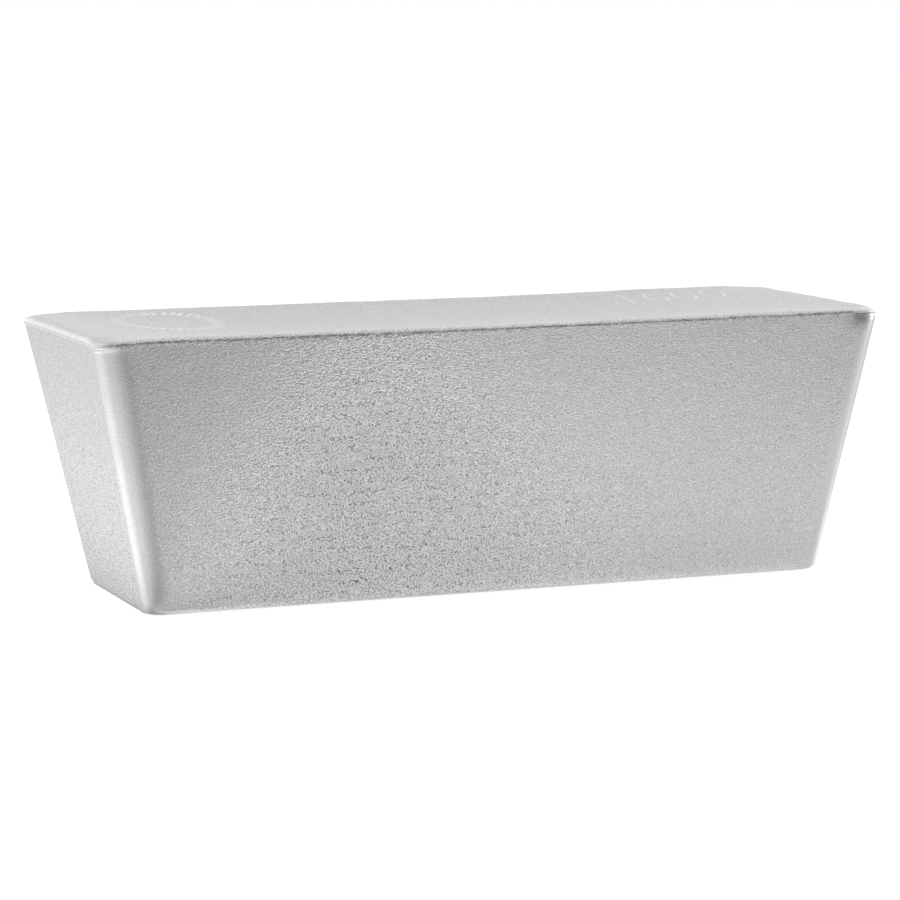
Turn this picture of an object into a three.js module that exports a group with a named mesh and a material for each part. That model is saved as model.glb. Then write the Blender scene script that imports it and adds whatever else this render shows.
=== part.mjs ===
// A 1,000 troy ounce silver bar, poured into an open-topped iron mould and knocked out of it.
// It is one solid casting. Four drafted walls meet on rounded corners and stand on a narrow flat base
// with a soft edge. At the mouth of the mould the walls turn upright, and the metal's own skin rounds
// over from a tight outer edge to the crest of the rim. Inside the crest the surface sinks into a long
// shallow hollow, as the bar shrank while it set. Along the two long sides the rim itself sags a little
// between the corners.
// Units are millimetres: X runs along the bar, Y across it and Z up, from the centre of the base.

import * as THREE from "three";

// The bar as a whole
const topLength = 308; // over the outer edge of the rim
const topWidth = 119.5;
const baseLength = 268.5; // where the walls would meet the floor with a sharp edge
const baseWidth = 87.5;
const height = 102.2; // to the crest of the rim at the corners

// Rounded corners and the edge of the base
const topCornerRadius = 11; // at the outer edge of the rim
const baseCornerRadius = 9;
const baseEdgeRadius = 2.2;

// Mouth of the mould and rim
const mouthDepth = 2.4; // the part of the wall that turns upright
const mouthEase = 0.2; // how far its top stays inside the wall's own plane
const rimWidth = 5; // level, from the outer edge to the crest
const rimRise = 1.2; // upright, from the outer edge to the crest
const rimSag = 0.45; // how much lower the rim is half way along a long side

// Shrinkage hollow: a parabola across the bar, and along it nearly level with faster rising ends
const hollowDepth = 5.2; // the middle of the hollow below the rim beside it
const hollowPowerAcross = 2;
const hollowPowerAlong = 4;
const hollowShoulder = 2.5; // how softly the rim turns over into the hollow

// How finely the curves are cut
const cornerSteps = 8;
const sideSteps = 14;
const endSteps = 6;
const baseEdgeSteps = 5;
const mouthSteps = 3;
const rimSteps = 8;
const hollowSteps = 12;

const { lerp } = THREE.MathUtils;
const rimFoot = height - rimRise;
const mouthFoot = rimFoot - mouthDepth;

// The mould's cavity at height z: half sizes and corner radius of its rounded rectangle.
// The draft ends where the rim begins to round over, so the rim there measures the full top size.
function cavityAt(z) {
  const rise = Math.min(1, z / rimFoot);
  return {
    halfLength: lerp(baseLength, topLength + 2 * mouthEase, rise) / 2,
    halfWidth: lerp(baseWidth, topWidth + 2 * mouthEase, rise) / 2,
    radius: lerp(baseCornerRadius, topCornerRadius + mouthEase, rise),
  };
}

// Points along curves that are joined end to end, each cut into its own number of steps.
function samplePath(curves) {
  return curves.flatMap(([curve, steps], i) => curve.getPoints(steps).slice(i === 0 ? 0 : 1));
}

// Outer profile, up the wall: x is the inset from the cavity's wall and y the height.
function outerProfile() {
  const baseEdge = new THREE.EllipseCurve(
    baseEdgeRadius, baseEdgeRadius, baseEdgeRadius, baseEdgeRadius, 1.5 * Math.PI, Math.PI, true,
  );
  const wall = new THREE.LineCurve(
    new THREE.Vector2(0, baseEdgeRadius),
    new THREE.Vector2(0, mouthFoot),
  );
  const mouth = new THREE.QuadraticBezierCurve(
    new THREE.Vector2(0, mouthFoot),
    new THREE.Vector2(0, mouthFoot + mouthDepth / 2),
    new THREE.Vector2(mouthEase, rimFoot),
  );
  const rim = new THREE.EllipseCurve(
    mouthEase + rimWidth, rimFoot, rimWidth, rimRise, Math.PI, 0.5 * Math.PI, true,
  );
  return samplePath([[baseEdge, baseEdgeSteps], [wall, 1], [mouth, mouthSteps], [rim, rimSteps]]);
}

// A rounded rectangle, anticlockwise. Its sides are cut into steps, so that they can bend.
function roundedRectangle(halfLength, halfWidth, radius) {
  const points = [];
  for (const [quarter, sideX, sideY] of [[0, 1, 1], [1, -1, 1], [2, -1, -1], [3, 1, -1]]) {
    const corner = new THREE.EllipseCurve(
      sideX * (halfLength - radius), sideY * (halfWidth - radius), radius, radius,
      (quarter * Math.PI) / 2, ((quarter + 1) * Math.PI) / 2,
    );
    points.push(...corner.getPoints(cornerSteps));
    const from = points.at(-1);
    const startsLongSide = sideX === sideY;
    const to = startsLongSide
      ? new THREE.Vector2(-from.x, from.y)
      : new THREE.Vector2(from.x, -from.y);
    const steps = startsLongSide ? sideSteps : endSteps;
    for (let i = 1; i < steps; i += 1) points.push(from.clone().lerp(to, i / steps));
  }
  return points;
}

// The drop of the rim at x: nothing at the two ends, rimSag half way along.
function rimDrop(x) {
  return rimSag * Math.cos((Math.PI * x) / topLength) ** 2;
}

// Rings up the outside, from the edge of the base to the crest of the rim.
// Up the mouth of the mould they follow the sagging rim more and more.
function outerRings() {
  return outerProfile().map(({ x: inset, y: z }) => {
    const cavity = cavityAt(z);
    const sagShare = Math.min(1, Math.max(0, (z - mouthFoot) / mouthDepth));
    return roundedRectangle(
      cavity.halfLength - inset, cavity.halfWidth - inset, cavity.radius - inset,
    ).map(({ x, y }) => new THREE.Vector3(x, y, z - sagShare * rimDrop(x)));
  });
}

// Rings down the hollow, each a smaller copy of the crest of the rim laid onto the hollow's surface.
// They crowd towards the rim, where the surface bends most. The last is a point: the middle.
function hollowRings(crest) {
  const crestBox = new THREE.Box3().setFromPoints(crest);
  const sinkAt = (x, y) => {
    const across = 1 - Math.abs(y / crestBox.max.y) ** hollowPowerAcross;
    const along = 1 - Math.abs(x / crestBox.max.x) ** hollowPowerAlong;
    const inside = Math.min(crestBox.max.x - Math.abs(x), crestBox.max.y - Math.abs(y));
    const shoulder = inside / (inside + hollowShoulder);
    return new THREE.Vector3(x, y, height - rimDrop(x) - hollowDepth * across * along * shoulder);
  };
  const rings = [];
  for (let i = 1; i < hollowSteps; i += 1) {
    const share = Math.cos((0.5 * Math.PI * i) / hollowSteps);
    rings.push(crest.map(({ x, y }) => sinkAt(share * x, share * y)));
  }
  return { rings, middle: sinkAt(0, 0) };
}

// Skins rings into one closed body: quads between them, and a fan from a middle point at each end.
function skin(rings, firstMiddle, lastMiddle) {
  const count = rings[0].length;
  const triangles = [];
  for (let ring = 0; ring < rings.length - 1; ring += 1) {
    for (let i = 0; i < count; i += 1) {
      const low = ring * count + i;
      const lowNext = ring * count + ((i + 1) % count);
      triangles.push(low, lowNext, lowNext + count, low, lowNext + count, low + count);
    }
  }
  const firstIndex = rings.length * count;
  const lastRing = firstIndex - count;
  for (let i = 0; i < count; i += 1) {
    const next = (i + 1) % count;
    triangles.push(firstIndex, next, i);
    triangles.push(firstIndex + 1, lastRing + i, lastRing + next);
  }
  const geometry = new THREE.BufferGeometry();
  geometry.setFromPoints([...rings.flat(), firstMiddle, lastMiddle]);
  geometry.setIndex(triangles);
  geometry.computeVertexNormals();
  return geometry;
}

function barGeometry() {
  const outer = outerRings();
  const hollow = hollowRings(outer.at(-1));
  const baseMiddle = new THREE.Vector3(0, 0, 0);
  return skin([...outer, ...hollow.rings], baseMiddle, hollow.middle);
}

// As-cast silver: pale, only just warm, and frosted by the mould's wash.
function castSilver() {
  return new THREE.MeshStandardMaterial({ color: 0xd3d1ce, metalness: 1, roughness: 0.42 });
}

const ingot = new THREE.Mesh(barGeometry(), castSilver());
ingot.name = "ingot";

const part = new THREE.Group();
part.name = "cast_silver_bar";
part.add(ingot);

export default part;
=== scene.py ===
# %% [markdown]
# # A cast silver bar
# This lesson dresses one solid part: a bullion bar of about thirty kilograms, poured into an open iron
# mould and knocked out of it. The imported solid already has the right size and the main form. What is
# missing is what a hand feels and an eye catches: the uneven rim, the slow waves of the skin, the grain
# left by the mould wash, and two punched marks in the hollow of the top. The steps are: load the frame,
# build a dense skin with bmesh operators, press the marks and the relief into it, make the metal, and
# light it.

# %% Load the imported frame
import math
import random

import bmesh
import bpy
from mathutils import Matrix, Vector, noise


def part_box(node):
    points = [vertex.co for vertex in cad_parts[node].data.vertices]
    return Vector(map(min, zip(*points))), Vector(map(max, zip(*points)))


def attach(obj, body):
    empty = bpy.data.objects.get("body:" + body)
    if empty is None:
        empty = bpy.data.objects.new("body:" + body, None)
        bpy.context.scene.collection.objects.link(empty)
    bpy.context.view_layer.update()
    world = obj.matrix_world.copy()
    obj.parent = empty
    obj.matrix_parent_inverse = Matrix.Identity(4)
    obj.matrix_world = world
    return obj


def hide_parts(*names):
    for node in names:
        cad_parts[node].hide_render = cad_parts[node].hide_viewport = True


MM = 0.001
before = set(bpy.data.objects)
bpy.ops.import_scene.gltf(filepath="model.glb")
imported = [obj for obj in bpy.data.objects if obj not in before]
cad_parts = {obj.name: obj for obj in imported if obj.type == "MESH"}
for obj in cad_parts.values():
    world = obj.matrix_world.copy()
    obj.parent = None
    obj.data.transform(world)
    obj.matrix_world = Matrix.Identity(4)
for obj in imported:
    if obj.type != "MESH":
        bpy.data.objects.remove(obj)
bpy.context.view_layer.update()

# %% [markdown]
# ## The sizes
# Everything is written in millimetres times MM, so that the numbers read as they would on a drawing. The
# overall sizes come from the frame. The small ones are those of the casting: its draft, its corner radii,
# the mouth of the mould where the walls turn upright, the round of the rim, and the shrinkage hollow.
# SKIN is a little allowance: the skin is drawn that far inside the solid, so that the relief can move
# both ways and still stay in the solid's box.

# %% Sizes of the casting
low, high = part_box("ingot")
SKIN = 0.12 * MM
TOP_LENGTH = high[0] - low[0] - 2 * SKIN
TOP_WIDTH = high[1] - low[1] - 2 * SKIN
HEIGHT = high[2] - low[2] - SKIN
BASE_LENGTH = 268.5 * MM - 2 * SKIN
BASE_WIDTH = 87.5 * MM - 2 * SKIN
TOP_CORNER_RADIUS = 11 * MM
BASE_CORNER_RADIUS = 9 * MM
BASE_EDGE_RADIUS = 2.2 * MM
RIM_WIDTH = 5 * MM
RIM_RISE = 1.2 * MM
RIM_SAG = 0.45 * MM
MOUTH_DEPTH = 2.4 * MM
MOUTH_EASE = 0.2 * MM
HOLLOW_DEPTH = 5.2 * MM
RIM_FOOT = HEIGHT - RIM_RISE
MOUTH_FOOT = RIM_FOOT - MOUTH_DEPTH
print("skin:", round(TOP_LENGTH / MM, 2), "x", round(TOP_WIDTH / MM, 2), "x", round(HEIGHT / MM, 2), "mm")

# %% [markdown]
# ## The profile
# Seen in section, the outside of the bar is one line: over the wide round of the rim, round its tight
# outer edge, down the drafted wall and round the soft edge of the base. It could be drawn as a curve and
# swept, but the corner radius grows with the height, which a sweep can't do. So each stop on the line is
# kept as an inset from the mould's wall and a height, and a level section of the cavity is worked out.

# %% Profile and level sections
RIM_STOPS = 14
MOUTH_STOPS = 4
WALL_STOPS = 62
BASE_EDGE_STOPS = 5


def mix(a, b, share):
    return a + (b - a) * share


def smooth(share):
    """A share from 0 to 1 that leaves 0 and reaches 1 softly, and stays at each beyond it."""
    share = min(1.0, max(0.0, share))
    return share * share * (3 - 2 * share)


def ease(value, start, end):
    """Eases from 0 where the value is at start to 1 where it is at end. The end may be the lower one."""
    return smooth((value - start) / (end - start))


def cavity_at(z):
    """Half length, half width and corner radius of the mould's cavity at height z."""
    rise = min(1.0, z / RIM_FOOT)
    return Vector((
        mix(BASE_LENGTH, TOP_LENGTH + 2 * MOUTH_EASE, rise) / 2,
        mix(BASE_WIDTH, TOP_WIDTH + 2 * MOUTH_EASE, rise) / 2,
        mix(BASE_CORNER_RADIUS, TOP_CORNER_RADIUS + MOUTH_EASE, rise),
    ))


def profile():
    """Stops of (inset, height), from the crest of the rim down to the flat of the base."""
    stops = []
    for i in range(RIM_STOPS + 1):
        angle = math.pi / 2 * (1 - i / RIM_STOPS)
        inset = MOUTH_EASE + RIM_WIDTH * (1 - math.cos(angle))
        stops.append((inset, RIM_FOOT + RIM_RISE * math.sin(angle)))
    for i in range(1, MOUTH_STOPS + 1):
        share = i / MOUTH_STOPS
        stops.append((MOUTH_EASE * (1 - share) ** 2, mix(RIM_FOOT, MOUTH_FOOT, share)))
    for i in range(1, WALL_STOPS + 1):
        stops.append((0, mix(MOUTH_FOOT, BASE_EDGE_RADIUS, i / WALL_STOPS)))
    for i in range(1, BASE_EDGE_STOPS + 1):
        angle = math.pi / 2 * i / BASE_EDGE_STOPS
        inset = BASE_EDGE_RADIUS * (1 - math.cos(angle))
        stops.append((inset, BASE_EDGE_RADIUS * (1 - math.sin(angle))))
    return stops


print(len(profile()), "level sections")

# %% [markdown]
# ## The skin
# The top is a grid whose corners are drawn in to the round corners of the crest. Its border is then
# extruded edge by edge: over the rim, down the walls and under the base, where a single face closes it.
# A subdivided cube would do too, but then the rows would not follow the rim. Each border point remembers
# two things as attributes, which every extrusion copies: its seat, on the inner rectangle that the corner
# circles stand on, and its look, the level direction that it faces. With those two, a point finds its
# place on any section. Three more attributes are made here and filled later, for the metal to read.

# %% Grid for the top
CELL = 1.4 * MM

crest_inset = profile()[0][0]
crest_half_length, crest_half_width, crest_radius = cavity_at(HEIGHT) - Vector((crest_inset,) * 3)
corner_x = crest_half_length - crest_radius
corner_y = crest_half_width - crest_radius


def round_corner(x, y):
    """Draws a point of the plain rectangle in to the rectangle with round corners."""
    past_x = max(0.0, abs(x) - corner_x) / crest_radius
    past_y = max(0.0, abs(y) - corner_y) / crest_radius
    drawn_x = past_x * math.sqrt(1 - past_y * past_y / 2)
    drawn_y = past_y * math.sqrt(1 - past_x * past_x / 2)
    return (
        math.copysign(min(abs(x), corner_x) + drawn_x * crest_radius, x),
        math.copysign(min(abs(y), corner_y) + drawn_y * crest_radius, y),
    )


bm = bmesh.new()
seat_layer = bm.verts.layers.float_vector.new("seat")
look_layer = bm.verts.layers.float_vector.new("look")
wear_and_highlight_layer = bm.verts.layers.float.new("wear_and_highlight")
grain_layer = bm.verts.layers.float.new("grain")
painted_shade_layer = bm.verts.layers.float.new("painted_shade")
bmesh.ops.create_grid(
    bm,
    x_segments=round(2 * crest_half_length / CELL),
    y_segments=round(2 * crest_half_width / CELL),
    size=1,
)
for vert in bm.verts:
    x, y = round_corner(vert.co.x * crest_half_length, vert.co.y * crest_half_width)
    seat_x = max(-1.0, min(1.0, x / corner_x))
    seat_y = max(-1.0, min(1.0, y / corner_y))
    vert[seat_layer] = (seat_x, seat_y, 0)
    vert[look_layer] = ((x - seat_x * corner_x) / crest_radius, (y - seat_y * corner_y) / crest_radius, 0)
    vert.co = (x, y, HEIGHT)
print("top grid:", len(bm.verts), "points")

# %% Extrude the border down to the base and close it
BASE_MARGIN = 3 * MM


def lay_on_section(vert, inset, z):
    """Moves a point to its place on the level section at height z."""
    half_length, half_width, radius = cavity_at(z) - Vector((inset,) * 3)
    seat, look = vert[seat_layer], vert[look_layer]
    vert.co = (
        seat.x * (half_length - radius) + look.x * radius,
        seat.y * (half_width - radius) + look.y * radius,
        z,
    )


ring = [edge for edge in bm.edges if edge.is_boundary]
for inset, z in profile()[1:]:
    made = bmesh.ops.extrude_edge_only(bm, edges=ring)["geom"]
    for vert in made:
        if isinstance(vert, bmesh.types.BMVert):
            lay_on_section(vert, inset, z)
    ring = [edge for edge in made if isinstance(edge, bmesh.types.BMEdge) and edge.is_boundary]
base = bmesh.ops.contextual_create(bm, geom=ring)["faces"]
bmesh.ops.inset_region(bm, faces=base, thickness=BASE_MARGIN, use_even_offset=True)
bmesh.ops.recalc_face_normals(bm, faces=bm.faces)
print("skin:", len(bm.verts), "points,", len(ring), "on each ring")

# %% [markdown]
# ## Finer cells for the punched marks
# The marks have strokes about a millimetre and a half wide, so the cells under them are cut again. The
# whole top could be cut as finely, but that would cost ten times the points. Only the edges inside the
# two patches are subdivided, and the operator stitches each patch to its coarser neighbours.

# %% Subdivide the two patches
RING_MARK = Vector((-104, 27)) * MM
RING_PATCH = 23.5 * MM
NUMBER = "1000"
NUMBER_PLACE = Vector((107, 38)) * MM
NUMBER_MARGIN = 3 * MM
DIGIT_HEIGHT = 17 * MM
DIGIT_WIDTH = 8 * MM
DIGIT_PITCH = 12.3 * MM
PATCH_CUTS = 3
TOUCH = 0.001 * MM

number_half_width = DIGIT_PITCH * (len(NUMBER) - 1) / 2 + DIGIT_WIDTH


def in_patch(point):
    from_ring = point.xy - RING_MARK
    if max(abs(from_ring.x), abs(from_ring.y)) < RING_PATCH:
        return True
    from_number = point.xy - NUMBER_PLACE
    return abs(from_number.x) < number_half_width and abs(from_number.y) < DIGIT_HEIGHT / 2 + NUMBER_MARGIN


patch = [
    edge for edge in bm.edges
    if all(vert.co.z > HEIGHT - TOUCH and in_patch(vert.co) for vert in edge.verts)
]
bmesh.ops.subdivide_edges(bm, edges=patch, cuts=PATCH_CUTS, use_grid_fill=True)
print("patches:", len(patch), "edges cut,", len(bm.verts), "points now")

# %% [markdown]
# ## The hollow
# As the bar sets from the mould inwards, the last metal to freeze is in the middle of the top, and it
# sinks. Across the bar that gives a parabola, and along it the middle runs nearly level while the ends
# rise faster. Proportional editing would give some such bowl by hand, but a formula keeps it symmetric
# and true to the sizes above. The rim keeps its height, and sags only a little along the two long sides.

# %% Sink the top
HOLLOW_SHOULDER = 2.5 * MM
HOLLOW_POWER_ALONG = 4
HOLLOW_POWER_ACROSS = 2
FACES_UP = 0.9


def rim_drop(x):
    return RIM_SAG * math.cos(math.pi * x / TOP_LENGTH) ** 2


def hollow_drop(x, y):
    share_x = min(1.0, abs(x) / crest_half_length)
    share_y = min(1.0, abs(y) / crest_half_width)
    from_rim = min(crest_half_length - abs(x), crest_half_width - abs(y))
    shoulder = from_rim / (from_rim + HOLLOW_SHOULDER) if from_rim > 0 else 0
    bowl = (1 - share_x ** HOLLOW_POWER_ALONG) * (1 - share_y ** HOLLOW_POWER_ACROSS)
    return HOLLOW_DEPTH * bowl * shoulder


for vert in bm.verts:
    if vert.co.z > HEIGHT - TOUCH:
        vert.co.z -= hollow_drop(vert.co.x, vert.co.y)
    if vert.co.z > MOUTH_FOOT:
        vert.co.z -= min(1.0, (vert.co.z - MOUTH_FOOT) / MOUTH_DEPTH) * rim_drop(vert.co.x)
bm.normal_update()
deepest = min(vert.co.z for vert in bm.verts if vert.normal.z > FACES_UP)
print("hollow:", round((HEIGHT - deepest) / MM, 2), "mm below the rim's corners")

# %% [markdown]
# ## The punched marks
# Bars are numbered and proofed with hand punches while they are cold, so each mark is a shallow groove
# with soft sides and slightly raised edges. The marks are painted brighter than the skin: partly bruised
# metal, partly a painted highlight for their glints. They are made here as plain ones: a ring of short
# ticks as a proof mark, set by hand and so a little uneven, and a round number. A boolean cut would leave
# thin faces in the skin, so the skin is pressed down instead, by its distance from the punch's strokes.

# %% Strokes of the number
FLAG = (0.3, 0.14)
ELLIPSE_STEPS = 20


def ellipse(centre, half_width, half_height):
    """Points round an ellipse, which ends where it starts."""
    angles = (2 * math.pi * i / ELLIPSE_STEPS for i in range(ELLIPSE_STEPS + 1))
    return [centre + Vector((half_width * math.cos(a), half_height * math.sin(a))) for a in angles]


def digit_strokes(digit, centre):
    """A 0 is one ellipse, and a 1 is an upright with a flag."""
    if digit == "0":
        return [ellipse(centre, DIGIT_WIDTH / 2, DIGIT_HEIGHT / 2)]
    foot = centre - Vector((0, DIGIT_HEIGHT / 2))
    top = centre + Vector((0, DIGIT_HEIGHT / 2))
    return [[foot, top, top - Vector((FLAG[0] * DIGIT_WIDTH, FLAG[1] * DIGIT_HEIGHT))]]


strokes = []
for i, digit in enumerate(NUMBER):
    shift = (i - (len(NUMBER) - 1) / 2) * DIGIT_PITCH
    strokes += digit_strokes(digit, NUMBER_PLACE + Vector((shift, 0)))
print(len(strokes), "strokes of the number", NUMBER)

# %% Ticks of the ring
TICKS = 36
TICK_RADIUS = 19.2 * MM
TICK_LENGTH = 4.2 * MM

TURN_SLIP = 0.2
RADIUS_SLIP = 0.6 * MM
SHARE_OF_LENGTH = (0.3, 0.55)

punch = random.Random(7)
ticks = []
for i in range(TICKS):
    angle = 2 * math.pi * (i + punch.uniform(-TURN_SLIP, TURN_SLIP)) / TICKS
    out = Vector((math.cos(angle), math.sin(angle)))
    middle = RING_MARK + out * (TICK_RADIUS + punch.uniform(-RADIUS_SLIP, RADIUS_SLIP))
    reach = out * TICK_LENGTH * punch.uniform(*SHARE_OF_LENGTH)
    ticks.append([middle - reach, middle + reach])
print(len(ticks), "ticks round", [round(place / MM, 1) for place in RING_MARK], "mm")

# %% Press them in
STROKE_WIDTH = 1.5 * MM
STROKE_DEPTH = 0.25 * MM
STROKE_SHINE = 0.7
TICK_WIDTH = 1.6 * MM
TICK_DEPTH = 0.14 * MM
TICK_SHINE = 1
RING_REACH = 24.5 * MM
GROOVE_REACH = 2
GROOVE_SIDE = (1.1, 0.35)
BURR_HEIGHT = 0.12
BURR_PLACE = 1.35
BURR_WIDTH = 0.3
BRUISE_AND_HIGHLIGHT_EDGE = (1.3, 0.7)
ON_TOP = 0.5


def distance_to_stroke(point, stroke):
    nearest = math.inf
    for start, end in zip(stroke, stroke[1:]):
        along = end - start
        share = max(0.0, min(1.0, (point - start).dot(along) / along.length_squared))
        nearest = min(nearest, (point - start - share * along).length)
    return nearest


def groove(share, depth):
    """Depth at a share of the half width: a flat bottom, soft sides, and a low burr beside them."""
    if share > GROOVE_REACH:
        return 0
    burr = BURR_HEIGHT * depth * math.exp(-((share - BURR_PLACE) / BURR_WIDTH) ** 2)
    return depth * ease(share, *GROOVE_SIDE) - burr


for vert in bm.verts:
    if vert.normal.z < ON_TOP or not in_patch(vert.co):
        continue
    point = vert.co.xy
    if (point - RING_MARK).length < RING_REACH:
        punched, width, depth, shine = ticks, TICK_WIDTH, TICK_DEPTH, TICK_SHINE
    else:
        punched, width, depth, shine = strokes, STROKE_WIDTH, STROKE_DEPTH, STROKE_SHINE
    share = min(distance_to_stroke(point, stroke) for stroke in punched) / (width / 2)
    vert.co.z -= groove(share, depth)
    # The marks are painted brighter: partly bruised metal, partly a painted highlight.
    vert[wear_and_highlight_layer] = shine * ease(share, *BRUISE_AND_HIGHLIGHT_EDGE)
bm.normal_update()
print("bruised points:", sum(vert[wear_and_highlight_layer] > 0.5 for vert in bm.verts))

# %% [markdown]
# ## The uneven skin
# Nothing on a cast bar is flat. The walls wave by a tenth of a millimetre over a hand's width, and the
# metal rippled where it met the cold mould. The mould stood out of level, so the top is lower at one end,
# and its cavity was out of true, so the base sits off centre under the rim. A Displace modifier could make
# the waves, but it knows nothing of rims and corners. So each point gets a move of its own. The moves are
# collected first and made last, so that every step reads the same plain shape.

# %% Waves, tilt and skew
WAVE_LENGTH = 45 * MM
WAVE_HEIGHT = 0.16 * MM
RIPPLE_LENGTH = 9 * MM
RIPPLE_SHAPE = 0.6
RIPPLE_HEIGHT = 0.05 * MM
RIPPLE_DECAY = 1
RIPPLE_STEP = 2
RIPPLE_OCTAVES = 2
POUR_TILT = 0.6 * MM
MOULD_SKEW = 0.85 * MM
UNDERSIDE = -0.9


def waves(vert):
    """Height of the slow waves, plus the ripples on the walls, which are longer than they are high."""
    on_wall = 1 - abs(vert.normal.z)
    x, y, z = vert.co / RIPPLE_LENGTH
    place = Vector((x, y, z / RIPPLE_SHAPE))
    ripples = noise.fractal(place, RIPPLE_DECAY, RIPPLE_STEP, RIPPLE_OCTAVES)
    return WAVE_HEIGHT * noise.noise(vert.co / WAVE_LENGTH) + RIPPLE_HEIGHT * on_wall * ripples


skin = [vert for vert in bm.verts if vert.normal.z >= UNDERSIDE]
moves = {vert: vert.normal * waves(vert) for vert in skin}
for vert in skin:
    up = vert.co.z / HEIGHT
    along = 0.5 + vert.co.x / TOP_LENGTH
    moves[vert].x += MOULD_SKEW * (1 - up)
    moves[vert].z -= POUR_TILT * up * along
print("points that may move:", len(skin), "of", len(bm.verts))

# %% [markdown]
# ## The rim
# The rim freezes first, at uneven heights. It slumped a little at the four corners, and along the outer
# edge of the two ends. Sculpting would do for one bar, but noise and eased steps stay in line with the
# rim when a size changes. The wave fades out towards the middle of the bar, where the hollow is calm.
# From here on, a pair of numbers in brackets is often where an ease starts and where it is complete.

# %% Heights of the rim
RIM_WAVE_LENGTH = 14 * MM
RIM_WAVE_HEIGHT = 0.22 * MM
RIM_WAVE_LEVEL = 0.3
RIM_WAVE_START = Vector((3.1, 7.7, 1.3))
CALM_WIDTH = 0.3 * TOP_WIDTH
CORNER_SLUMP = 0.5 * MM
CORNER_REACH = 20 * MM
CORNER_STEEPNESS = 1.35
END_SLUMP = 0.8 * MM
SLUMP_MIDDLE = 2 / 3


def up_the_rim(vert):
    """0 at the foot of the mouth and 1 at the height of the crest."""
    return (vert.co.z - MOUTH_FOOT) / (HEIGHT - MOUTH_FOOT)


upper = [vert for vert in skin if vert.co.z > MOUTH_FOOT]
for vert in upper:
    near_rim = ease(vert.co.z, MOUTH_FOOT, RIM_FOOT) * ease(abs(vert.co.y), 0, CALM_WIDTH)
    uneven = noise.noise(vert.co / RIM_WAVE_LENGTH + RIM_WAVE_START) - RIM_WAVE_LEVEL
    moves[vert].z += near_rim * RIM_WAVE_HEIGHT * uneven
    from_corner = Vector((TOP_LENGTH / 2 - abs(vert.co.x), TOP_WIDTH / 2 - abs(vert.co.y))).length
    moves[vert].z -= CORNER_SLUMP * smooth(CORNER_STEEPNESS * (1 - from_corner / CORNER_REACH))
    rise = up_the_rim(vert)
    below_crest = ease(rise, 0, SLUMP_MIDDLE) * ease(rise, 1, SLUMP_MIDDLE)
    moves[vert].z -= END_SLUMP * below_crest * vert[look_layer].x ** 2
print("points above the foot of the mouth:", len(upper))

# %% [markdown]
# ## Painted shade and rubbed, highlit metal on the rim
# A thin, broken dark line of painted shade lies just under the rim, along the two long sides. At the two
# ends, the rim is painted bright, more at one than at the other: partly rubbed by hands and gloves, partly
# a painted highlight. Both are colour, not shape, so they are written to the attributes that the metal will
# read.
# An image could hold them too, but a point of this skin is small enough to carry them itself.

# %% Painted shade line, and rubbed and highlit ends
OUTSIDE = 0.9
SHADE_LINE_RISE = 0.1 * MM
SHADE_LINE_SPREAD = 0.5 * MM
SHADE_LINE_PATCHES = 4 * MM
SHADE_LINE_MEAN = 0.8
SHADE_LINE_VARIES = 0.7
SHADE_LINE_SIDES = (3 / 16, 13 / 16)
RUB_AND_HIGHLIGHT_PATCHES = 5 * MM
RUB_AND_HIGHLIGHT_MEAN = 0.78
RUB_AND_HIGHLIGHT_VARIES = 0.4
RUB_AND_HIGHLIGHT_ENDS = (1 / 2, 5 / 6)
RUB_AND_HIGHLIGHT_FOOT = (1 / 5, 11 / 30)
RUB_AND_HIGHLIGHT_CREST = (17 / 18, 5 / 6)
RIGHT_END_RUB_AND_HIGHLIGHT = 0.6

rim = [vert for vert in upper if vert[look_layer].length > OUTSIDE]
for vert in rim:
    look = vert[look_layer]
    # The dark line under the rim is painted shade.
    off_line = (vert.co.z + rim_drop(vert.co.x) - RIM_FOOT - SHADE_LINE_RISE) / SHADE_LINE_SPREAD
    patchy = SHADE_LINE_MEAN + SHADE_LINE_VARIES * noise.noise(vert.co / SHADE_LINE_PATCHES)
    vert[painted_shade_layer] = patchy * math.exp(-off_line ** 2) * ease(abs(look.y), *SHADE_LINE_SIDES)
    # The bright ends are partly rubbed metal and partly a painted highlight.
    rise = up_the_rim(vert)
    rubbed_and_highlit = ease(abs(look.x), *RUB_AND_HIGHLIGHT_ENDS) * ease(rise, *RUB_AND_HIGHLIGHT_FOOT) * ease(rise, *RUB_AND_HIGHLIGHT_CREST)
    rubbed_and_highlit *= 1 if look.x < 0 else RIGHT_END_RUB_AND_HIGHLIGHT
    chafed_and_highlit = RUB_AND_HIGHLIGHT_MEAN + RUB_AND_HIGHLIGHT_VARIES * noise.noise(vert.co / RUB_AND_HIGHLIGHT_PATCHES)
    vert[wear_and_highlight_layer] = max(vert[wear_and_highlight_layer], chafed_and_highlit * rubbed_and_highlit)
print("rim:", sum(vert[painted_shade_layer] > 0.5 for vert in rim), "points dark with dross,", end=" ")
print(sum(vert[wear_and_highlight_layer] > 0.5 for vert in rim), "rubbed bright")

# %% [markdown]
# ## The lap
# Where the metal reached a corner of the mould too cold, it folded over itself under the rim. Founders call
# that a lap. It is an oval dent with soft edges, and painted shade darkens its inside. Cutting it with
# the knife tool would give hard edges, so it is pressed in as a bell shape.

# %% Fold the lap
LAP_PLACE = (145.5 * MM, 100 * MM)
LAP_SIZE = (7 * MM, 4.5 * MM)
LAP_DEPTH = 1.2 * MM
LAP_WALL = (-0.4, -0.8)
LAP_SHADE_STRENGTH = 1.9
LAP_DARKEST = 1.25
LAP_ROUND_CORNER = (44, 30)
NOT_ON_TOP = 0.8


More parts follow.
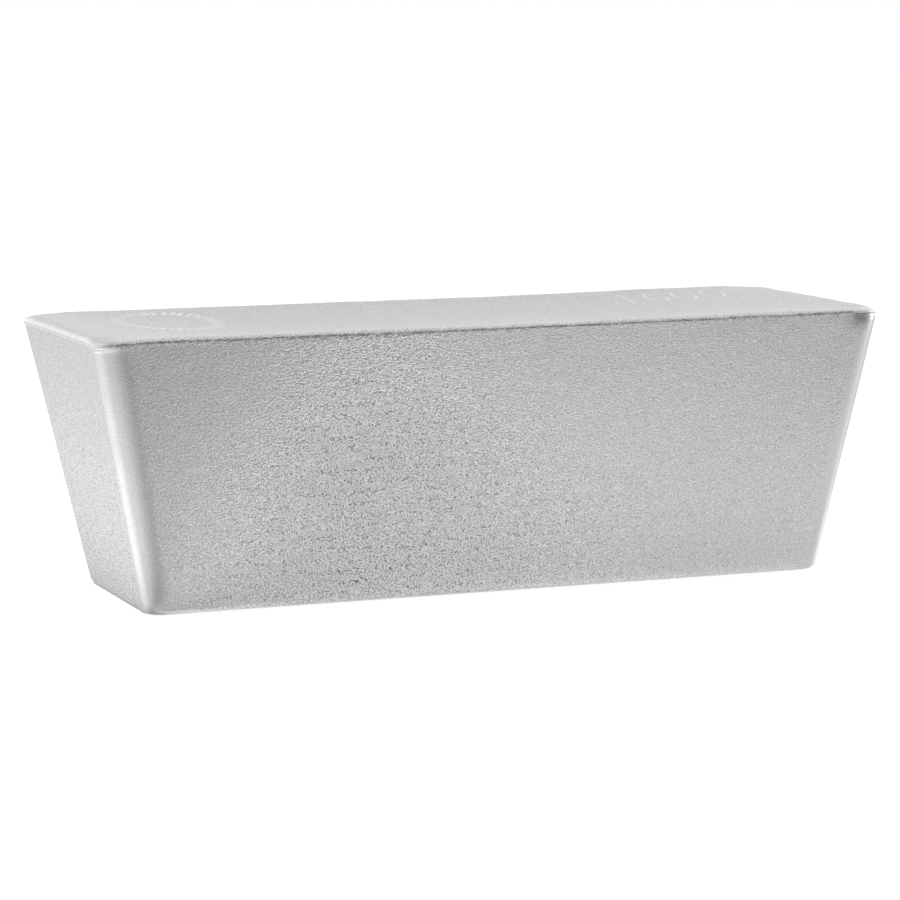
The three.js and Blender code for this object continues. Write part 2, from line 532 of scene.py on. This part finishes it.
def near_lap(co):
    """1 in the middle of the lap, fading to nothing round it."""
    away_x = (co.x - LAP_PLACE[0]) / LAP_SIZE[0]
    away_z = (co.z - LAP_PLACE[1]) / LAP_SIZE[1]
    return math.exp(-away_x ** 2 - away_z ** 2)


def round_right_corner(vert):
    """Degrees that a point has turned from the long side, at 0, to the right end, at 90."""
    look = vert[look_layer]
    return math.degrees(math.atan2(look.x, -look.y))


for vert in skin:
    moves[vert] -= vert.normal * LAP_DEPTH * near_lap(vert.co) * ease(vert.normal.y, *LAP_WALL)
    if vert.normal.z < NOT_ON_TOP:
        # The inside of the lap is darkened with painted shade, and the painted highlight is taken away
        # there.
        painted_lap_shade = min(LAP_DARKEST, LAP_SHADE_STRENGTH * near_lap(vert.co) ** 2)
        painted_lap_shade *= ease(round_right_corner(vert), *LAP_ROUND_CORNER)
        vert[painted_shade_layer] = max(vert[painted_shade_layer], painted_lap_shade)
        vert[wear_and_highlight_layer] *= 1 - min(1, painted_lap_shade)
print("points dark with dross:", sum(vert[painted_shade_layer] > 0.5 for vert in skin))

# %% [markdown]
# ## The knocked corner
# The same corner hit something when the bar was tipped out, which knocked its upper edge round. Down its
# height the corner is painted bright: partly rubbed metal, partly a painted highlight. A bevel would round
# the edge evenly from end to end. A knock is deepest at one spot, so the points are pushed in by how near
# they are to it.

# %% Knock the corner, and paint it bright with wear and highlight
KNOCK = 0.9 * MM
KNOCK_SPREAD = 1.4 * MM
KNOCK_SIDE = (0, 40)
KNOCK_END = (90, 60)
CORNER_RUB_AND_HIGHLIGHT = 0.85
CORNER_RUB_AND_HIGHLIGHT_SIDE = (29, 43)
CORNER_RUB_AND_HIGHLIGHT_END = (70, 52)

outer_skin = [vert for vert in skin if vert[look_layer].length > OUTSIDE]
for vert in outer_skin:
    look = vert[look_layer]
    if not look.x > 0 > look.y:
        continue
    turned = round_right_corner(vert)
    off_edge = (vert.co.z - RIM_FOOT) / KNOCK_SPREAD
    knock = KNOCK * math.exp(-off_edge ** 2) * ease(turned, *KNOCK_SIDE) * ease(turned, *KNOCK_END)
    moves[vert] -= knock * look
    # Rubbed metal and a painted highlight down the corner.
    rubbed_and_highlit = CORNER_RUB_AND_HIGHLIGHT * ease(turned, *CORNER_RUB_AND_HIGHLIGHT_SIDE) * ease(turned, *CORNER_RUB_AND_HIGHLIGHT_END)
    vert[wear_and_highlight_layer] = max(vert[wear_and_highlight_layer], rubbed_and_highlit)
print("points rubbed bright:", sum(vert[wear_and_highlight_layer] > 0.5 for vert in outer_skin))

# %% [markdown]
# ## The ridge
# At the left end, one corner of the mould was dressed flat. There the bar's end wall runs on into the round
# corner, and a low ridge stands where it stops, an arris. Stacking rubs such a ridge bright, and its
# brightness here is partly that wear and partly a painted highlight. A crease could sharpen it, but the
# corner would keep its round, so the points are pushed out to the end wall's own plane, and eased back to
# the round beyond the ridge.

# %% Run the end wall on into the corner
ARRIS_TURN = 28
ARRIS_FADE = 34
ARRIS_HIGHLIGHT_SPREAD = 14
ARRIS_PATCHES = 9 * MM
ARRIS_WEAR_AND_HIGHLIGHT_MEAN = 0.95
ARRIS_WEAR_AND_HIGHLIGHT_VARIES = 0.4

for vert in outer_skin:
    look = vert[look_layer]
    if vert.normal.z >= ON_TOP or look.x > 0 or look.y > 0:
        continue
    turned = math.degrees(math.atan2(-look.y, -look.x))
    gap = cavity_at(vert.co.z)[2] * (1 - math.cos(math.radians(min(turned, ARRIS_TURN))))
    moves[vert].x -= gap * ease(turned, ARRIS_TURN + ARRIS_FADE, ARRIS_TURN)
    # The ridge is painted bright: partly wear, partly a painted highlight.
    worn_and_highlit = max(0.0, 1 - abs(turned - ARRIS_TURN) / ARRIS_HIGHLIGHT_SPREAD)
    chafed_and_highlit = ARRIS_WEAR_AND_HIGHLIGHT_MEAN + ARRIS_WEAR_AND_HIGHLIGHT_VARIES * noise.noise(vert.co / ARRIS_PATCHES)
    vert[wear_and_highlight_layer] = max(vert[wear_and_highlight_layer], worn_and_highlit * min(1.0, max(0.0, chafed_and_highlit)))
print("points rubbed bright, with the ridge:", sum(vert[wear_and_highlight_layer] > 0.5 for vert in outer_skin))

# %% Make the moves, and stay inside the solid's box
for vert, move in moves.items():
    vert.co += move
    for axis in range(3):
        vert.co[axis] = min(high[axis], max(low[axis], vert.co[axis]))
print("longest move:", round(max(move.length for move in moves.values()) / MM, 2), "mm")

# %% [markdown]
# ## Where the grain is strong
# The mould is brushed with a wash of bone ash, so that the metal lets go of it, and the metal copies the
# wash. It lay thick on the lower left of the long sides and thin towards the far end, the corners and the
# rim. The hollow never touched it. Vertex paint would do for one mesh, but it is lost when the mesh is
# made anew. So the strength is worked out for each point, from 0 to 1, and kept as an attribute.

# %% How strong the grain is, from place to place
GRAIN_LEAST = 0.2
GRAIN_HOLLOW = 0.19
GRAIN_MIDDLE = -52 * MM
GRAIN_LOW_HIGH = (20 * MM, 80 * MM)
GRAIN_TO_LEFT = (45 * MM, 30 * MM)
GRAIN_TO_RIGHT = (72 * MM, 34 * MM)
GRAIN_FADES_UP = (60 * MM, 90 * MM)
GRAIN_LOST_UP = 0.55
FACES_END = 0.8
FACES_SIDE = 0.9
END_GRAIN = (0.6, 0.25)
END_FADES_UP = (25 * MM, 95 * MM)
CORNER_GRAIN = 0.35
CORNER_TURN = 0.35
RIM_GRAIN_SIDE = 0.45
RIM_GRAIN_END = 0.15


def side_grain(x, z):
    """Thick round GRAIN_MIDDLE, and less wide and less strong higher up."""
    reach = GRAIN_TO_LEFT if x < GRAIN_MIDDLE else GRAIN_TO_RIGHT
    spread = mix(*reach, ease(z, *GRAIN_LOW_HIGH))
    thick = math.exp(-((x - GRAIN_MIDDLE) / spread) ** 2) * (1 - GRAIN_LOST_UP * ease(z, *GRAIN_FADES_UP))
    return GRAIN_LEAST + (1 - GRAIN_LEAST) * thick


def face_grain(vert):
    if vert.normal.z > ON_TOP:
        return GRAIN_HOLLOW
    if vert.normal.z < -ON_TOP:
        return GRAIN_LEAST
    if abs(vert.normal.x) > FACES_END:
        return mix(*END_GRAIN, ease(vert.co.z, *END_FADES_UP))
    return side_grain(vert.co.x, vert.co.z)


for vert in bm.verts:
    strength = face_grain(vert)
    look = vert[look_layer]
    if look.length > OUTSIDE:
        on_corner = ease(min(abs(look.x), abs(look.y)), 0, CORNER_TURN)
        strength *= mix(1, CORNER_GRAIN, on_corner)
        rim_grain = RIM_GRAIN_SIDE if abs(look.y) > FACES_SIDE else RIM_GRAIN_END
        strength = mix(strength, rim_grain, ease(vert.co.z, MOUTH_FOOT, RIM_FOOT))
    vert[grain_layer] = strength
strengths = [vert[grain_layer] for vert in bm.verts]
print("grain from", round(min(strengths), 2), "to", round(max(strengths), 2))

# %% [markdown]
# ## From bmesh to object
# The skin becomes one mesh object and keeps its attributes. It rides on the solid's body and stands in for
# it. Its faces are shaded smooth: a modifier could subdivide them instead, but they are small enough.

# %% Make it a mesh object
mesh = bpy.data.meshes.new("cast_silver_skin")
bm.to_mesh(mesh)
bm.free()
mesh.shade_smooth()
bar = bpy.data.objects.new("cast_silver_skin", mesh)
bpy.context.scene.collection.objects.link(bar)
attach(bar, "root")
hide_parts("ingot")
mesh.calc_loop_triangles()
print("bar:", len(mesh.loop_triangles), "triangles")

# %% [markdown]
# ## The metal
# Silver that was cast and never polished is a frosted grey-white metal. Its grain is about half a
# millimetre across, too fine for the mesh, so it is bump. A Principled shader with Metallic at 1 is the
# plain way to a metal. Its colour, roughness and bump come from nodes, and four small functions keep the
# making of nodes short: they add a node, feed its sockets, map a range and multiply.

# %% Node helpers
def node(tree, kind, **options):
    """Adds a node and sets its own options, such as its operation."""
    made = tree.nodes.new(kind)
    for name, value in options.items():
        setattr(made, name, value)
    return made


def feed(tree, made, **inputs):
    """Feeds a node's sockets, by name with _ for a space: a link for a socket, a plain value otherwise."""
    for name, value in inputs.items():
        socket = made.inputs[name.replace("_", " ")]
        if isinstance(value, bpy.types.NodeSocket):
            tree.links.new(value, socket)
        else:
            socket.default_value = value
    return made


def ranged(tree, value, source, target, easing="LINEAR"):
    """Maps a value from the range source to the range target, and holds it at both ends."""
    made = node(tree, "ShaderNodeMapRange", interpolation_type=easing)
    feed(tree, made, Value=value, From_Min=source[0], From_Max=source[1])
    return feed(tree, made, To_Min=target[0], To_Max=target[1]).outputs["Result"]


def product(tree, a, b):
    made = node(tree, "ShaderNodeMath", operation="MULTIPLY")
    tree.links.new(a, made.inputs[0])
    tree.links.new(b, made.inputs[1])
    return made.outputs["Value"]


print("node helpers:", ", ".join(helper.__name__ for helper in (node, feed, ranged, product)))

# %% Start the metal and read the skin's attributes
metal = bpy.data.materials.new("cast_silver")
metal.use_nodes = True
tree = metal.node_tree
shader = tree.nodes["Principled BSDF"]
feed(tree, shader, Metallic=1)
on_bar = node(tree, "ShaderNodeTexCoord").outputs["Object"]
grain = node(tree, "ShaderNodeAttribute", attribute_name="grain").outputs["Fac"]
wear_and_highlight = node(tree, "ShaderNodeAttribute", attribute_name="wear_and_highlight").outputs["Fac"]
painted_shade = node(tree, "ShaderNodeAttribute", attribute_name="painted_shade").outputs["Fac"]
mesh.materials.append(metal)
print("attributes:", [attribute.name for attribute in mesh.attributes if attribute.domain == "POINT"])

# %% [markdown]
# ## The grain
# The wash dries in small pebbles. They are a little wider than tall here, and lean, because the brush went
# along the wall at a slant. Higher up the metal froze as it rose, which drew level streaks. So the bump
# goes over from pebbles to streaks with the height. A Voronoi texture gives rounder pebbles, but a rough
# noise looks more like ash. The attribute sets how strong all of it is.

# %% Grain as bump
PEBBLE_SCALE = 850
PEBBLE_SHAPE = (0.75, 1, 0.6)
PEBBLE_LEAN = math.radians(-22)
PEBBLE_ROUGHNESS = 0.6
STREAK_SCALE = 1500
STREAK_SQUEEZE = (0.45, 0.45, 1)
STREAK_HEIGHTS = (60 * MM, 85 * MM)
STREAK_SHARES = (0.15, 0.5)
GRAIN_HEIGHT = 1.1 * MM

leaning = feed(
    tree, node(tree, "ShaderNodeMapping", vector_type="TEXTURE"),
    Vector=on_bar, Scale=PEBBLE_SHAPE, Rotation=(0, PEBBLE_LEAN, 0),
).outputs["Vector"]
pebbles = feed(
    tree, node(tree, "ShaderNodeTexNoise"),
    Vector=leaning, Scale=PEBBLE_SCALE, Detail=2, Roughness=PEBBLE_ROUGHNESS,
).outputs["Fac"]
drawn = feed(tree, node(tree, "ShaderNodeMapping"), Vector=on_bar, Scale=STREAK_SQUEEZE).outputs["Vector"]
streaks = feed(
    tree, node(tree, "ShaderNodeTexNoise"), Vector=drawn, Scale=STREAK_SCALE, Detail=2,
).outputs["Fac"]
height_on_bar = feed(tree, node(tree, "ShaderNodeSeparateXYZ"), Vector=on_bar).outputs["Z"]
streaked = feed(
    tree, node(tree, "ShaderNodeMix", data_type="FLOAT"),
    Factor=ranged(tree, height_on_bar, STREAK_HEIGHTS, STREAK_SHARES), A=pebbles, B=streaks,
).outputs["Result"]
relief = product(tree, streaked, grain)
bump = feed(tree, node(tree, "ShaderNodeBump"), Height=relief, Distance=GRAIN_HEIGHT)
feed(tree, shader, Normal=bump.outputs["Normal"])
print("pebbles about", round(1 / PEBBLE_SCALE / MM, 1), "mm apart")

# %% [markdown]
# ## The tone
# The wash leaves dark specks and pale ones, and more of both where it lay thick. So a finer noise darkens
# or lightens the silver, as strongly as the attribute says. SOOT is how much darker the darkest specks
# are, GLEAM is how much lighter a pale one may be, and LIFT makes the whole a little paler. A colour ramp
# could do this too, but a range of plain numbers is easier to tune. Painted shade then darkens the result.

# %% Tone of the silver
SILVER = (0.64, 0.633, 0.621)
SPECK_SCALE = 1500
SPECK_SWING = 0.25
LIFT = 0.07
SOOT = 1.7
GLEAM = 0.6
PAINTED_SHADE_DARK = 0.5

specks = feed(
    tree, node(tree, "ShaderNodeTexNoise"), Vector=leaning, Scale=SPECK_SCALE, Detail=1,
).outputs["Fac"]
centred = node(tree, "ShaderNodeMath", operation="SUBTRACT")
tree.links.new(specks, centred.inputs[0])
centred.inputs[1].default_value = 0.5 - LIFT
specked = ranged(
    tree, product(tree, centred.outputs["Value"], grain),
    (-SPECK_SWING, SPECK_SWING * GLEAM / SOOT), (1 - SOOT, 1 + GLEAM),
)
# Painted shade darkens the silver along the line under the rim and inside the lap.
darkened = ranged(tree, painted_shade, (0, 1), (1, 1 - PAINTED_SHADE_DARK))
silver = node(tree, "ShaderNodeVectorMath", operation="SCALE")
silver.inputs[0].default_value = SILVER
feed(tree, silver, Scale=product(tree, specked, darkened))
print("silver as cast:", SILVER)

# %% [markdown]
# ## The rubbed metal, and painted highlights
# Where the skin is rubbed or punched, the frost is gone, and the metal is paler and less rough. The same
# paler colour is also a painted highlight on the rim, the corners and the marks. An attribute of the mesh
# holds how worn and highlit each point is, so one mix of two colours and one range of roughness do for the
# rim, the corners and the marks. Wear could also come from Geometry's Pointiness, but that would wear every
# edge alike.

# %% Wear, painted highlight and roughness
BRIGHT_SILVER_AND_HIGHLIGHT = (0.96, 0.955, 0.945)
ROUGH = 0.33
ROUGH_WORN = 0.15
MIX_A = 4
MIX_B = 5
MIX_RESULT = 1

# A Mix node keeps one pair of sockets for each kind of data. These are the numbers of its vectors.
worn_and_highlit_silver = feed(tree, node(tree, "ShaderNodeMix", data_type="VECTOR"), Factor=wear_and_highlight)
tree.links.new(silver.outputs["Vector"], worn_and_highlit_silver.inputs[MIX_A])
# The bright colour is rubbed silver, and also a painted highlight.
worn_and_highlit_silver.inputs[MIX_B].default_value = BRIGHT_SILVER_AND_HIGHLIGHT
tree.links.new(worn_and_highlit_silver.outputs[MIX_RESULT], shader.inputs["Base Color"])
feed(tree, shader, Roughness=ranged(tree, wear_and_highlight, (0, 1), (ROUGH, ROUGH_WORN)))
print("metal:", len(tree.nodes), "nodes")

# %% [markdown]
# ## The floor
# A metal bar shows its surroundings, and most of what its walls show is the floor. To the camera this one
# is plain white. To the metal it is graded, as when grey and white cards lie round the object, because the
# long wall, the end and the corners each mirror another part of it. Real cards would be seen from other
# sides. So the floor glows, and its strength depends on the kind of ray that asks: white for the camera,
# graded for the rest.

# %% Lay the floor
FLOOR_REACH = 6

floor_mesh = bpy.data.meshes.new("floor")
bm = bmesh.new()
bmesh.ops.create_grid(bm, x_segments=1, y_segments=1, size=FLOOR_REACH)
bm.to_mesh(floor_mesh)
bm.free()
floor = bpy.data.objects.new("floor", floor_mesh)
bpy.context.scene.collection.objects.link(floor)
print("floor:", 2 * FLOOR_REACH, "m wide")


# %% Helpers for the studio
def vector_math(tree, operation, *values):
    made = node(tree, "ShaderNodeVectorMath", operation=operation)
    for value, socket in zip(values, made.inputs):
        if isinstance(value, tuple):
            socket.default_value = value
        else:
            tree.links.new(value, socket)
    return made


def white_to_camera(tree, level, white=1):
    """The level itself for every kind of ray but the camera's, which gets white."""
    seen = node(tree, "ShaderNodeLightPath").outputs["Is Camera Ray"]
    shown = feed(tree, node(tree, "ShaderNodeMix", data_type="FLOAT"), Factor=seen, A=level, B=white)
    return shown.outputs["Result"]


print("studio helpers:", vector_math.__name__, "and", white_to_camera.__name__)

# %% [markdown]
# ## The cards round the bar
# Each pair below is a direction and the brightness of the floor there. Directions are in degrees, seen
# from the bar's corner nearest the camera: 0 is along the bar to the right, and 90 is behind it. A wall
# shows mostly the levels that it faces. A radial gradient turns the direction into a number from 0 to 1,
# and a colour ramp turns that into a level. Lamps could light the floor so, but they would light the bar.

# %% Brightness of the floor by direction
NEAR_CORNER = (-0.135, -0.044, 0)
FLOOR_LEVELS = (
    (-180, 1.1), (-155, 1.06), (-140, 0.92), (-124, 0.62), (-108, 0.42), (-92, 0.38),
    (-74, 0.56), (-64, 0.64), (-55, 0.67), (-45, 0.785), (-38, 0.855), (-33, 0.91),
    (-25, 0.79), (-18, 0.70), (-12, 0.70), (-6, 0.695), (-3, 0.80), (2, 1.27),
    (5, 1.22), (10, 0.86), (20, 0.68), (35, 0.62), (58, 0.60), (95, 0.80),
    (100, 0.75), (106, 0.76), (112, 0.95), (146, 1.0), (180, 1.1),
)
FULL_TURN = 360

paint = bpy.data.materials.new("pale_floor")
paint.use_nodes = True
tree = paint.node_tree
tree.nodes.clear()
on_floor = node(tree, "ShaderNodeTexCoord").outputs["Object"]
from_corner = vector_math(tree, "SUBTRACT", on_floor, NEAR_CORNER).outputs["Vector"]
azimuth = feed(tree, node(tree, "ShaderNodeTexGradient", gradient_type="RADIAL"), Vector=from_corner)
by_direction = feed(tree, node(tree, "ShaderNodeValToRGB"), Fac=azimuth.outputs["Fac"])
stops = by_direction.color_ramp.elements
for degrees, level in FLOOR_LEVELS[1:-1]:
    stops.new(degrees / FULL_TURN + 0.5).color = (level, level, level, 1)
for stop, (degrees, level) in zip((stops[0], stops[-1]), (FLOOR_LEVELS[0], FLOOR_LEVELS[-1])):
    stop.color = (level, level, level, 1)
print("floor levels:", len(stops), "from", min(stop.color[0] for stop in stops))

# %% [markdown]
# ## The fades by distance
# Close to the bar the floor's glow is dimmed, a painted shadow of the bar, which keeps light from it. Next
# comes the brightest part, and further out the floor fades. The walls lean out over it, so they mirror the
# near floor low down and the far floor high up, and the fade darkens them towards the rim. The distance is
# measured from the left and front edges of the foot. Towards the right it counts for more, so that the fade
# comes sooner.

# %% Brightness of the floor by distance
FOOT = (0.134, 0.044)
RIGHT_STRETCH = 0.45
CONTACT_REACH = (0, 0.04)
CONTACT_LEVELS = (0.68, 1)
FADE_REACH = (0.1, 0.27)
FADE_LEVELS = (1, 0.53)

beyond = vector_math(tree, "MULTIPLY_ADD", on_floor, (-1, -1, 0), (-FOOT[0], -FOOT[1], 0))
beyond = vector_math(tree, "MAXIMUM", beyond.outputs["Vector"], (0, 0, 0)).outputs["Vector"]
ahead = feed(tree, node(tree, "ShaderNodeSeparateXYZ"), Vector=beyond)
along_floor = feed(tree, node(tree, "ShaderNodeSeparateXYZ"), Vector=on_floor).outputs["X"]
stretch = ranged(tree, along_floor, (FOOT[0], 2 * FOOT[0]), (1, 1 + RIGHT_STRETCH))
away = feed(
    tree, node(tree, "ShaderNodeCombineXYZ"),
    X=ahead.outputs["X"], Y=product(tree, ahead.outputs["Y"], stretch),
).outputs["Vector"]
distance = vector_math(tree, "LENGTH", away).outputs["Value"]
# A painted shadow of the bar in the floor's glow.
contact = ranged(tree, distance, CONTACT_REACH, CONTACT_LEVELS, "SMOOTHSTEP")
fade = ranged(tree, distance, FADE_REACH, FADE_LEVELS, "SMOOTHSTEP")
floor_level = product(tree, by_direction.outputs["Color"], product(tree, contact, fade))
print("fades:", CONTACT_REACH, "and", FADE_REACH, "m from the foot")

# %% [markdown]
# ## The floor's own shader
# A glow alone would hide the bar's shadow. So the floor is a glow plus a pale diffuse, added together:
# what the glow leaves out of white, the diffuse brings in with the light, less under the bar.

# %% Glow and diffuse of the floor
FLOOR_GLOW = 0.7
FLOOR_ALBEDOS = (0.2, 0.6)

light = white_to_camera(tree, floor_level, FLOOR_GLOW)
glow = feed(tree, node(tree, "ShaderNodeEmission"), Strength=light)
seen = node(tree, "ShaderNodeLightPath").outputs["Is Camera Ray"]
albedo = ranged(tree, seen, (0, 1), FLOOR_ALBEDOS)
diffuse = feed(tree, node(tree, "ShaderNodeBsdfDiffuse"), Color=albedo)
lit = node(tree, "ShaderNodeAddShader")
tree.links.new(glow.outputs["Emission"], lit.inputs[0])
tree.links.new(diffuse.outputs["BSDF"], lit.inputs[1])
feed(tree, node(tree, "ShaderNodeOutputMaterial"), Surface=lit.outputs["Shader"])
floor_mesh.materials.append(paint)
print("floor paint:", len(tree.nodes), "nodes")

# %% [markdown]
# ## The surround
# The world is a white room. It is dim behind the camera, as a studio is, which gives the long wall its
# tone, and a little dimmer overhead, so that the top doesn't glare. A sky picture could light the bar too,
# but two ranges of the ray's direction are enough. Z counts three times in the first, so that the dim part
# is wide and low.

# %% World
OVERHEAD = (0.1, 0.4)
OVERHEAD_LEVELS = (1, 0.78)
DIM_SHAPE = (1, 1, 3)
DIM_TOWARDS = Vector((-0.09, -1, 0)).normalized()
DIM_DEGREES = (85, 20)
DIM_LEVELS = (1, 0.05)

world = bpy.data.worlds.new("white_surround")
bpy.context.scene.world = world
world.use_nodes = True
tree = world.node_tree
tree.nodes.clear()
around = node(tree, "ShaderNodeTexCoord").outputs["Generated"]
up = feed(tree, node(tree, "ShaderNodeSeparateXYZ"), Vector=around).outputs["Z"]
overhead = ranged(tree, up, OVERHEAD, OVERHEAD_LEVELS, "SMOOTHSTEP")
steeper = vector_math(tree, "MULTIPLY", around, DIM_SHAPE).outputs["Vector"]
steeper = vector_math(tree, "NORMALIZE", steeper).outputs["Vector"]
facing = vector_math(tree, "DOT_PRODUCT", steeper, tuple(DIM_TOWARDS)).outputs["Value"]
dim_cosines = [math.cos(math.radians(degrees)) for degrees in DIM_DEGREES]
dimmed = ranged(tree, facing, dim_cosines, DIM_LEVELS, "SMOOTHSTEP")
light = white_to_camera(tree, product(tree, overhead, dimmed))
background = feed(tree, node(tree, "ShaderNodeBackground"), Color=(1, 1, 1, 1), Strength=light)
feed(tree, node(tree, "ShaderNodeOutputWorld"), Surface=background.outputs["Background"])
print("surround:", len(tree.nodes), "nodes")

# %% [markdown]
# ## The lamps
# Two square softboxes, one at each end and a little behind, put a soft sheen on the rim and the ends. They
# are weak, because the white room already lights the bar, and a mirror adds what it sees of a lamp to what
# it sees of the room. Sun or spot lamps would make hard glints on such a metal.

# %% Lamps
def soft_lamp(name, place, size, power):
    lamp = bpy.data.lights.new(name, "AREA")
    lamp.shape = "SQUARE"
    lamp.size = size
    lamp.energy = power
    holder = bpy.data.objects.new(name, lamp)
    holder.location = place
    holder.rotation_euler = (-Vector(place)).to_track_quat("-Z", "Y").to_euler()
    holder.visible_camera = False
    bpy.context.scene.collection.objects.link(holder)
    print(name, "at", place, "m:", power, "W")


soft_lamp("left_softbox", (-1.0, 0.8, 0.3), 0.9, 1.4)
soft_lamp("right_softbox", (1.2, 0.3, 0.3), 0.7, 0.8)

# %% [markdown]
# ## The camera
# A long lens from well back keeps the bar's edges nearly parallel, as a catalogue picture does. The camera
# stands a little above the top, to the left of the bar's middle. Its place and its three turns are set as
# numbers. A Track To constraint would aim it too, but without the small roll that a real tripod has.

# %% Camera
CAMERA_PLACE = Vector((-0.48104, -1.31152, 0.23132))
CAMERA_YAW = 0.35085
CAMERA_PITCH = 0.13031
CAMERA_ROLL = -0.00969
LENS = 147.65
SENSOR = 36

camera_data = bpy.data.cameras.new("camera")
camera_data.lens = LENS
camera_data.sensor_width = SENSOR
camera = bpy.data.objects.new("camera", camera_data)
aim = (
    Matrix.Rotation(-CAMERA_YAW, 4, "Z")
    @ Matrix.Rotation(math.pi / 2 - CAMERA_PITCH, 4, "X")
    @ Matrix.Rotation(CAMERA_ROLL, 4, "Z")
)
camera.matrix_world = Matrix.Translation(CAMERA_PLACE) @ aim
bpy.context.scene.collection.objects.link(camera)
bpy.context.scene.camera = camera
bpy.context.scene.view_settings.view_transform = "Standard"
print("camera:", LENS, "mm lens,", round(CAMERA_PLACE.length, 2), "m away")
